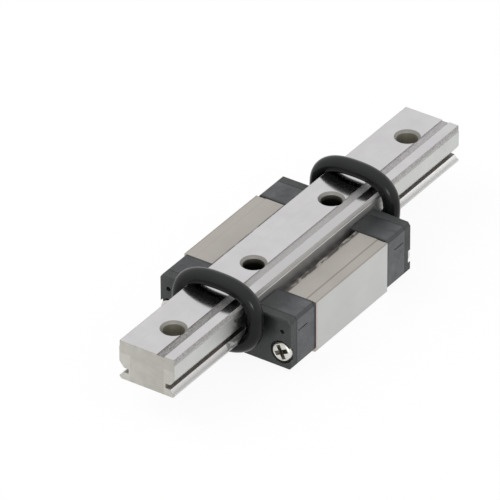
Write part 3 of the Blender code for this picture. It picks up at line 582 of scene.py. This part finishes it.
def moulded_cap_plastic():
    """Slate-black moulded plastic with a fine mould grain."""
    material, tree, shader, place = start_finish("moulded_cap_plastic", Specular_IOR_Level=0.45)
    grain = use(tree, MOULD_GRAIN, Place=place, Grain=3600.0, Cloud=260.0, Specks=800.0)
    cloud = spread(tree, grain["Cloud"], *NOISE, 0.0, 1.0)
    colour = blend(tree, cloud, (0.060, 0.064, 0.069), (0.086, 0.090, 0.096))

    # Patches rubbed pale or dark by handling, pale edges and dust
    smudge = noise(tree, place, Scale=620.0, Detail=5.0, Distortion=0.6)
    rubbed = spread(tree, smudge, 0.50, 0.68, 0.0, 0.55)
    colour = blend(tree, rubbed, colour, (0.120, 0.128, 0.130))
    handled = spread(tree, smudge, 0.46, 0.32, 0.0, 0.6)
    colour = blend(tree, handled, colour, (0.036, 0.039, 0.043))
    worn = use(tree, EDGE_WEAR, Place=place, Radius=0.16 * MM, Noise=2500.0)["Wear"]
    colour = blend(tree, times(tree, worn, 0.6), colour, (0.20, 0.20, 0.205))
    colour = blend(tree, times(tree, grain["Speck"], 0.5), colour, (0.3, 0.3, 0.3))

    # Painted shade in the joints to the steel and to the seal plate
    x, y, _ = split(tree, place)
    run = maths(tree, "ABSOLUTE", x)
    joint_shade = spread(tree, run, CAP_START + 0.10 * MM, CAP_START + 0.36 * MM, 1.0, 0.0)
    seam_shade = spread(tree, run, CAP_END - 0.16 * MM, CAP_END - 0.06 * MM, 0.0, 0.85)
    joint_shade = maths(tree, "MAXIMUM", times(tree, joint_shade, 0.95), seam_shade)
    colour = blend(tree, joint_shade, colour, (0.012, 0.012, 0.013))

    # Painted shade on the slanted edges, and on the upper faces beside the rail, with some
    # grease there too
    normal = surface_normal(tree)
    slant = times(tree, normal["Z"], maths(tree, "ABSOLUTE", normal["Y"]))
    # Painted shade: the slanted edges take a dark reflection.
    slope_shade = spread(tree, slant, 0.2, 0.4, 0.0, 0.6)
    colour = blend(tree, slope_shade, colour, (0.012, 0.012, 0.014))
    upward = spread(tree, normal["Z"], 0.5, 0.9, 0.0, 1.0)
    beside_rail = spread(tree, y, -8.6 * MM, -5.2 * MM, 0.0, 1.0)
    left = maths(tree, "GREATER_THAN", y, 0.0)
    right = maths(tree, "LESS_THAN", y, 0.0)
    # Painted shade on the upper faces beside the rail, strongest on the right and towards the
    # rear, with some grease.
    rail_shade_and_oil = times(tree, beside_rail, right, spread(tree, x, -8.0 * MM, 6.0 * MM, 0.75, 1.0))
    rear_left = times(tree, maths(tree, "GREATER_THAN", x, 0.0), left, 0.15)
    front_left = times(tree, maths(tree, "LESS_THAN", x, 0.0), left, 0.5)
    rail_shade_and_oil = maths(tree, "MAXIMUM", rail_shade_and_oil, maths(tree, "MAXIMUM", rear_left, front_left))
    colour = blend(tree, times(tree, upward, rail_shade_and_oil), colour, (0.010, 0.011, 0.012))
    rough = spread(tree, grain["Grain"], *NOISE, 0.42, 0.56)
    complete(tree, shader, colour, rough, grain["Grain"], 0.006 * MM)
    return material


def seal_plate_rubber():
    """Matte black of the seal plates, a little greener than the caps."""
    material, tree, shader, place = start_finish("seal_plate_rubber", Specular_IOR_Level=0.4)
    grain = use(tree, MOULD_GRAIN, Place=place, Grain=3600.0, Cloud=350.0, Specks=900.0)
    cloud = spread(tree, grain["Cloud"], *NOISE, 0.0, 1.0)
    colour = blend(tree, cloud, (0.025, 0.027, 0.028), (0.038, 0.040, 0.041))
    _, y, z = split(tree, place)
    # Painted reflection: the seal plate is lighter towards the left.
    paler = spread(tree, y, 3.5 * MM, 8.0 * MM, 0.0, 0.2)
    colour = blend(tree, paler, colour, (0.082, 0.088, 0.088))

    # Painted shade and dark reflection of the ring beside the rail, on the right, with a wavy
    # edge
    shade_wobble = noise(tree, place, Scale=700.0, Detail=3.0)
    shift = spread(tree, shade_wobble, *NOISE, -0.5 * MM, 0.5 * MM)
    out = maths(tree, "SUBTRACT", shift, y)
    ring_shade = times(
        tree,
        spread(tree, out, 6.0 * MM, 7.1 * MM, 1.0, 0.0),
        spread(tree, z, 3.2 * MM, 4.8 * MM, 0.0, 1.0),
        maths(tree, "LESS_THAN", y, 0.0),
        spread(tree, z, STEEL_TOP - 0.35 * MM, STEEL_TOP - 0.25 * MM, 1.0, 0.0),
    )
    colour = blend(tree, ring_shade, colour, (0.008, 0.009, 0.009))

    worn = use(tree, EDGE_WEAR, Place=place, Radius=0.12 * MM, Noise=2800.0)["Wear"]
    colour = blend(tree, times(tree, worn, 0.6), colour, (0.16, 0.16, 0.16))
    colour = blend(tree, times(tree, grain["Speck"], 0.5), colour, (0.25, 0.25, 0.25))
    rough = spread(tree, grain["Grain"], *NOISE, 0.45, 0.6)
    complete(tree, shader, colour, rough, grain["Grain"], 0.006 * MM)
    return material


def stop_ring_rubber():
    """Smooth black rubber with a low gloss and dust, with painted light on top and painted shade
    inside the ring.
    """
    material, tree, shader, place = start_finish("stop_ring_rubber", Specular_IOR_Level=0.15)
    grain = use(tree, MOULD_GRAIN, Place=place, Grain=2200.0, Cloud=500.0, Specks=600.0)
    cloud = spread(tree, grain["Cloud"], *NOISE, 0.0, 1.0)
    colour = blend(tree, cloud, (0.008, 0.0088, 0.0085), (0.013, 0.0138, 0.0135))
    normal = surface_normal(tree)
    # Painted light: paler where the surface faces up.
    crown = spread(tree, normal["Z"], 0.1, 0.9, 0.0, 0.9)
    colour = blend(tree, crown, colour, (0.026, 0.028, 0.027))
    _, y, z = split(tree, place)
    outward = maths(tree, "ADD", times(tree, normal["Y"], y),
                    times(tree, normal["Z"], maths(tree, "SUBTRACT", z, RING_Z)))
    # Painted shade: darker on the side that faces into the ring.
    inner = spread(tree, outward, 1.2 * MM, -1.8 * MM, 0.0, 1.0)
    colour = blend(tree, inner, colour, (0.002, 0.0024, 0.0022))
    colour = blend(tree, times(tree, grain["Speck"], 0.8), colour, (0.6, 0.6, 0.6))
    rough = spread(tree, grain["Cloud"], *NOISE, 0.10, 0.15)
    complete(tree, shader, colour, rough, grain["Grain"], 0.002 * MM)
    return material


def plated_screw():
    """Bright nickel plating, with painted shade at the bottom of the cross recess."""
    material, tree, shader, place = start_finish("plated_screw", Metallic=1.0)
    lines = use(tree, GRIND_LINES, Place=place, Along=1500.0, Across=1500.0, Patch=900.0)
    tone = spread(tree, lines["Patch"], 0.35, 0.65, 0.0, 1.0)
    colour = blend(tree, tone, (0.60, 0.585, 0.55), (0.70, 0.685, 0.645))
    x, y, z = split(tree, place)
    across = maths(tree, "SUBTRACT", maths(tree, "ABSOLUTE", y), SCREW_Y)
    rise = maths(tree, "SUBTRACT", z, SCREW_Z)
    squares = maths(tree, "ADD", times(tree, across, across), times(tree, rise, rise))
    inside = maths(tree, "LESS_THAN", maths(tree, "SQRT", squares), CROSS_REACH)
    # Painted shade in the cross recess.
    recess_shade = maths(tree, "LESS_THAN", maths(tree, "ABSOLUTE", x), SCREW_TOP - 0.03 * MM)
    recess_shade = times(tree, recess_shade, inside)
    colour = blend(tree, recess_shade, colour, (0.095, 0.085, 0.06))
    join(tree, spread(tree, recess_shade, 0.0, 1.0, 1.0, 0.35), shader.inputs["Metallic"])
    rough = spread(tree, lines["Line"], *NOISE, 0.34, 0.44)
    complete(tree, shader, colour, rough, lines["Line"], 0.0008 * MM)
    return material


def plated_metal(name, low, high, rough_low, rough_high):
    """Bright metal with slight variation in its tone and polish."""
    material, tree, shader, place = start_finish(name, Metallic=1.0)
    lines = use(tree, GRIND_LINES, Place=place, Along=1500.0, Across=1500.0, Patch=900.0)
    tone = spread(tree, lines["Patch"], 0.35, 0.65, 0.0, 1.0)
    colour = blend(tree, tone, low, high)
    rough = spread(tree, lines["Line"], *NOISE, rough_low, rough_high)
    complete(tree, shader, colour, rough, lines["Line"], 0.001 * MM)
    return material


def guide_plastic_finish():
    """Pale plastic of the return guides."""
    material, tree, shader, place = start_finish("guide_plastic", Specular_IOR_Level=0.45)
    grain = use(tree, MOULD_GRAIN, Place=place, Grain=5000.0, Cloud=600.0, Specks=800.0)
    colour = blend(tree, grain["Cloud"], (0.68, 0.65, 0.56), (0.78, 0.75, 0.67))
    rough = spread(tree, grain["Grain"], *NOISE, 0.4, 0.5)
    complete(tree, shader, colour, rough, grain["Grain"], 0.003 * MM)
    return material


# Modelling

def select_only(obj):
    """Leaves only this object selected, and active."""
    bpy.ops.object.select_all(action="DESELECT")
    obj.select_set(True)
    bpy.context.view_layer.objects.active = obj


def apply_modifiers(obj):
    """Turns an object's modifiers into its mesh."""
    select_only(obj)
    for modifier in list(obj.modifiers):
        bpy.ops.object.modifier_apply(modifier=modifier.name)


def round_edges(node, name, radius):
    """A copy of a CAD node whose edges are broken by a small radius."""
    piece = bpy.data.objects.new(name, NODES[node].data.copy())
    bpy.context.scene.collection.objects.link(piece)
    select_only(piece)
    bpy.ops.object.mode_set(mode="EDIT")
    bpy.ops.mesh.select_all(action="SELECT")
    bpy.ops.mesh.remove_doubles(threshold=0.001 * MM)
    bpy.ops.mesh.dissolve_limited(angle_limit=math.radians(0.5))
    bpy.ops.object.mode_set(mode="OBJECT")
    bevel = piece.modifiers.new("Edge", "BEVEL")
    bevel.width = radius
    bevel.segments = 2
    bevel.limit_method = "ANGLE"
    bevel.angle_limit = ROUNDED_FROM
    bevel.miter_outer = "MITER_ARC"
    bevel.use_clamp_overlap = True
    apply_modifiers(piece)
    bpy.ops.object.shade_smooth_by_angle(angle=SMOOTH_UP_TO)
    even = piece.modifiers.new("Even", "WEIGHTED_NORMAL")
    even.keep_sharp = True
    even.weight = 100
    apply_modifiers(piece)
    return piece


def cut(piece, cutter):
    """Takes one solid out of another and removes the solid that cut."""
    boolean = piece.modifiers.new("Cut", "BOOLEAN")
    boolean.operation = "DIFFERENCE"
    boolean.solver = "EXACT"
    boolean.object = cutter
    apply_modifiers(piece)
    bpy.data.objects.remove(cutter)


def stop_ring(end):
    """The rubber ring round the rail, dented where the rail's edges press into it."""
    low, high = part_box(f"stop_ring_{end}")
    middle = (low + high) / 2
    half_width = (high.y - low.y - RING_CORD) / 2
    half_height = (high.z - low.z - RING_CORD) / 2
    curve = bpy.data.curves.new(f"ring_line_{end}", "CURVE")
    curve.dimensions = "3D"
    curve.bevel_depth = RING_CORD / 2
    curve.bevel_resolution = 10
    line = curve.splines.new("POLY")
    line.points.add(RING_STEPS - 1)
    line.use_cyclic_u = True
    for step, point in enumerate(line.points):
        angle = 2 * math.pi * step / RING_STEPS
        y, z = (
            half * math.copysign(abs(share) ** (2 / RING_SQUARENESS), share)
            for half, share in ((half_width, math.cos(angle)), (half_height, math.sin(angle)))
        )
        point.co = (middle.x + RING_LEAN[end] * z, y, middle.z + z, 1)
    ring = bpy.data.objects.new(f"rubber_ring_{end}", curve)
    bpy.context.scene.collection.objects.link(ring)
    select_only(ring)
    bpy.ops.object.convert(target="MESH")
    bpy.ops.object.select_all(action="DESELECT")
    bpy.ops.mesh.primitive_cube_add(size=1, location=(middle.x, 0, (RAIL_LOW.z + BASE_Z) / 2))
    gap = 2 * RING_SEAT_GAP
    size = (3 * RING_CORD, 2 * RAIL_SIDE + gap, BASE_Z - RAIL_LOW.z + gap)
    bpy.ops.transform.resize(value=size)
    cut(ring, bpy.context.object)
    bpy.ops.object.shade_smooth_by_angle(angle=SMOOTH_UP_TO)
    return ring


def pick_faces(obj, wanted):
    """Selects the faces whose normal is wanted, in edit mode."""
    mesh = bmesh.from_edit_mesh(obj.data)
    for face in mesh.faces:
        face.select_set(wanted(face.normal))
    bmesh.update_edit_mesh(obj.data)


def cross_bar(turn):
    """One bar of the cross recess, narrower at its bottom and at its ends."""
    bpy.ops.object.select_all(action="DESELECT")
    bpy.ops.mesh.primitive_cube_add(size=1)
    bar = bpy.context.object
    bpy.ops.object.mode_set(mode="EDIT")
    bpy.ops.mesh.select_all(action="SELECT")
    long, wide = CROSS_FLARE
    bpy.ops.transform.resize(value=(long * CROSS_ARM, wide * CROSS_WIDTH, 2 * CROSS_DEPTH))
    pick_faces(bar, lambda normal: normal.z < -0.9)
    bpy.ops.transform.resize(value=(*CROSS_TAPER, 1), center_override=(0, 0, -CROSS_DEPTH))
    pick_faces(bar, lambda normal: abs(normal.x) > 0.5)
    bpy.ops.transform.resize(value=(1, CROSS_END_WIDTH, 1), center_override=(0, 0, 0))
    bpy.ops.mesh.select_all(action="SELECT")
    bpy.ops.transform.rotate(value=turn, orient_axis="Z", center_override=(0, 0, 0))
    bpy.ops.transform.translate(value=(0, 0, SCREW_HEAD_HEIGHT))
    bpy.ops.object.mode_set(mode="OBJECT")
    return bar


def cap_screw_blank():
    """A domed pan-head screw, its seat at height 0 and its cross recess cut."""
    bpy.ops.object.select_all(action="DESELECT")
    half = SCREW_HEAD_HEIGHT / 2
    bpy.ops.mesh.primitive_cylinder_add(vertices=72, radius=SCREW_HEAD / 2,
                                        depth=SCREW_HEAD_HEIGHT, location=(0, 0, half))
    screw = bpy.context.object
    bpy.ops.object.transform_apply(location=True)
    bpy.ops.object.mode_set(mode="EDIT")
    pick_faces(screw, lambda normal: normal.z < -0.9)
    bpy.ops.mesh.inset(thickness=(SCREW_HEAD - SCREW_SHANK) / 2)
    bpy.ops.mesh.extrude_region_move(
        TRANSFORM_OT_translate={"value": (0, 0, SCREW_POINT - SCREW_LENGTH)})
    bpy.ops.mesh.extrude_region_move(TRANSFORM_OT_translate={"value": (0, 0, -SCREW_POINT)})
    share = 1 - 2 * SCREW_POINT / SCREW_SHANK
    bpy.ops.transform.resize(value=(share, share, 1))
    bpy.ops.object.mode_set(mode="OBJECT")

    rim = screw.vertex_groups.new(name="rim")
    on_top = [v.index for v in screw.data.vertices if v.co.z > half]
    rim.add(on_top, 1.0, "REPLACE")
    crown = screw.modifiers.new("Crown", "BEVEL")
    crown.limit_method = "VGROUP"
    crown.vertex_group = "rim"
    crown.width = SCREW_CROWN
    crown.segments = 6
    apply_modifiers(screw)

    for turn in (0, math.pi / 2):
        cut(screw, cross_bar(turn))
    edges = screw.modifiers.new("Edge", "BEVEL")
    edges.width = SCREW_EDGE
    edges.segments = 2
    edges.limit_method = "ANGLE"
    edges.angle_limit = math.radians(40)
    apply_modifiers(screw)
    return screw


def cap_screw(blank, end, side):
    """A copy of the screw, turned to its own angle and set in its end cap."""
    low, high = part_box(f"cap_screw_{end}_{side}")
    way = ENDS[end]
    screw = bpy.data.objects.new(f"plated_screw_{end}_{side}", blank.data.copy())
    bpy.context.scene.collection.objects.link(screw)
    top = high.x if way > 0 else low.x
    seat = top - way * SCREW_HEAD_HEIGHT
    facing_out = Matrix.Rotation(math.radians(90) * way, 4, "Y")
    spin = Matrix.Rotation(CROSS_TURNS[end, side], 4, "Z")
    place = Matrix.Translation((seat, (low.y + high.y) / 2, (low.z + high.z) / 2))
    screw.data.transform(place @ facing_out @ spin)
    select_only(screw)
    bpy.ops.object.shade_smooth_by_angle(angle=SMOOTH_UP_TO)
    return screw


def dress(piece, material, body, node):
    """Gives a finished piece its material and body, and hides the CAD node that it stands for.
    """
    piece.data.materials.clear()
    piece.data.materials.append(material)
    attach(piece, body)
    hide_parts(node)


def paint(node, material):
    """Gives a CAD node that is shown as it is its material."""
    for slot in NODES[node].material_slots:
        slot.material = material


# Studio

def aim_camera():
    """Sets the camera at the photograph's place and angle."""
    flat = math.cos(ELEVATION)
    ahead = Vector((math.sin(AZIMUTH) * flat, math.cos(AZIMUTH) * flat, -math.sin(ELEVATION)))
    level = Vector((math.cos(AZIMUTH), -math.sin(AZIMUTH), 0))
    upright = level.cross(ahead)
    right = math.cos(ROLL) * level + math.sin(ROLL) * upright
    up = math.cos(ROLL) * upright - math.sin(ROLL) * level
    place = -(MIDDLE_RIGHT * right + MIDDLE_UP * up + DISTANCE * ahead)
    place.x += MIDDLE_ALONG
    turn = Matrix((right, up, -ahead)).transposed().to_4x4()
    lens = bpy.data.cameras.new("camera")
    lens.lens = LENS
    lens.sensor_width = SENSOR
    lens.clip_start = 0.01
    lens.clip_end = 10.0
    camera = bpy.data.objects.new("camera", lens)
    bpy.context.scene.collection.objects.link(camera)
    camera.matrix_world = Matrix.Translation(place) @ turn
    bpy.context.scene.camera = camera


def hang_softbox(name, place, size, power):
    """A soft rectangular lamp that looks at the guide's middle. Returns its object."""
    lamp = bpy.data.lights.new(name, "AREA")
    lamp.shape = "RECTANGLE"
    lamp.size, lamp.size_y = size
    lamp.energy = power
    softbox = bpy.data.objects.new(name, lamp)
    bpy.context.scene.collection.objects.link(softbox)
    softbox.location = place
    aim = LAMP_AIM - Vector(place)
    softbox.rotation_mode = "QUATERNION"
    softbox.rotation_quaternion = aim.to_track_quat("-Z", "Y")
    return softbox


def seen_directly(tree):
    """1 for rays from the camera, a reflection or glass, and 0 for rays of diffuse light."""
    ray = add(tree, "ShaderNodeLightPath")
    seen = maths(tree, "MAXIMUM", ray.outputs["Is Camera Ray"], ray.outputs["Is Glossy Ray"])
    return maths(tree, "MAXIMUM", seen, ray.outputs["Is Transmission Ray"])


def lay_floor():
    """A white floor under the guide. It shows white, with part of the guide's shadow."""
    bpy.ops.object.select_all(action="DESELECT")
    bpy.ops.mesh.primitive_plane_add(size=FLOOR_SIZE, location=(0, 0, -FLOOR_DROP))
    floor = bpy.context.object
    floor.name = "studio_floor"
    material = bpy.data.materials.new("studio_floor")
    material.use_nodes = True
    tree = material.node_tree
    shader = tree.nodes["Principled BSDF"]
    shader.inputs["Base Color"].default_value = (0.95, 0.95, 0.95, 1)
    shader.inputs["Roughness"].default_value = 0.9
    shader.inputs["Specular IOR Level"].default_value = 0.0
    glow = add(tree, "ShaderNodeEmission", {"Color": (1, 1, 1, 1), "Strength": 1.0})
    mix = add(tree, "ShaderNodeMixShader")
    join(tree, times(tree, seen_directly(tree), FLOOR_GLOW), mix.inputs[0])
    join(tree, shader.outputs[0], mix.inputs[1])
    join(tree, glow.outputs[0], mix.inputs[2])
    join(tree, mix.outputs[0], tree.nodes["Material Output"].inputs["Surface"])
    floor.data.materials.append(material)


def light_world():
    """Even white surroundings: full white where seen, and a little less as light."""
    world = bpy.data.worlds.new("studio")
    bpy.context.scene.world = world
    world.use_nodes = True
    tree = world.node_tree
    sky = tree.nodes["Background"]
    sky.inputs["Color"].default_value = (1, 1, 1, 1)
    strength = spread(tree, seen_directly(tree), 0.0, 1.0, SKY_LIGHT, 1.0)
    join(tree, strength, sky.inputs["Strength"])


# The guide

RAIL_STEEL = ground_rail_steel()
BLOCK_STEEL = warm_block_steel()
CAP_PLASTIC = moulded_cap_plastic()
SEAL_RUBBER = seal_plate_rubber()
RING_RUBBER = stop_ring_rubber()
SCREW_NICKEL = plated_screw()
BALL_STEEL = plated_metal("polished_ball", (0.72, 0.72, 0.73), (0.78, 0.78, 0.79), 0.06, 0.12)
WIRE_STEEL = plated_metal("drawn_wire", (0.55, 0.55, 0.55), (0.62, 0.62, 0.62), 0.25, 0.35)
GUIDE_PLASTIC = guide_plastic_finish()

SCREW = cap_screw_blank()
dress(round_edges("rail", "ground_rail", STEEL_EDGE), RAIL_STEEL, "rail_assembly",
      "rail")
dress(round_edges("block_body", "steel_block", STEEL_EDGE), BLOCK_STEEL, BLOCK,
      "block_body")
for end in ENDS:
    dress(round_edges(f"end_cap_{end}", f"moulded_cap_{end}", CAP_EDGE), CAP_PLASTIC, BLOCK,
          f"end_cap_{end}")
    dress(round_edges(f"end_seal_{end}", f"seal_plate_{end}", SEAL_EDGE), SEAL_RUBBER, BLOCK,
          f"end_seal_{end}")
    dress(stop_ring(end), RING_RUBBER, f"{end}_ring", f"stop_ring_{end}")
    for side in SIDES:
        dress(cap_screw(SCREW, end, side), SCREW_NICKEL, BLOCK,
              f"cap_screw_{end}_{side}")
        paint(f"return_guide_{end}_{side}", GUIDE_PLASTIC)
bpy.data.objects.remove(SCREW)
for side in SIDES:
    paint(f"balls_{side}", BALL_STEEL)
    paint(f"ball_retainer_{side}", WIRE_STEEL)


# The studio

aim_camera()
light_world()
lay_floor()
overhead = hang_softbox("overhead_softbox", (-0.12, 0.42, 0.42), size=(0.5, 0.5), power=1.65)
overhead.visible_glossy = False
hang_softbox("front_softbox", (-0.50, -0.43, 0.23), size=(0.3, 0.3), power=0.5)
glint = hang_softbox("glint_lamp", (-0.50, -0.43, 0.23), size=(0.1, 0.1), power=1.4)
glint.visible_diffuse = False
hang_softbox("side_softbox", (0.35, -0.45, 0.2), size=(1.1, 0.55), power=0.58)
bpy.context.scene.view_settings.view_transform = "Standard"
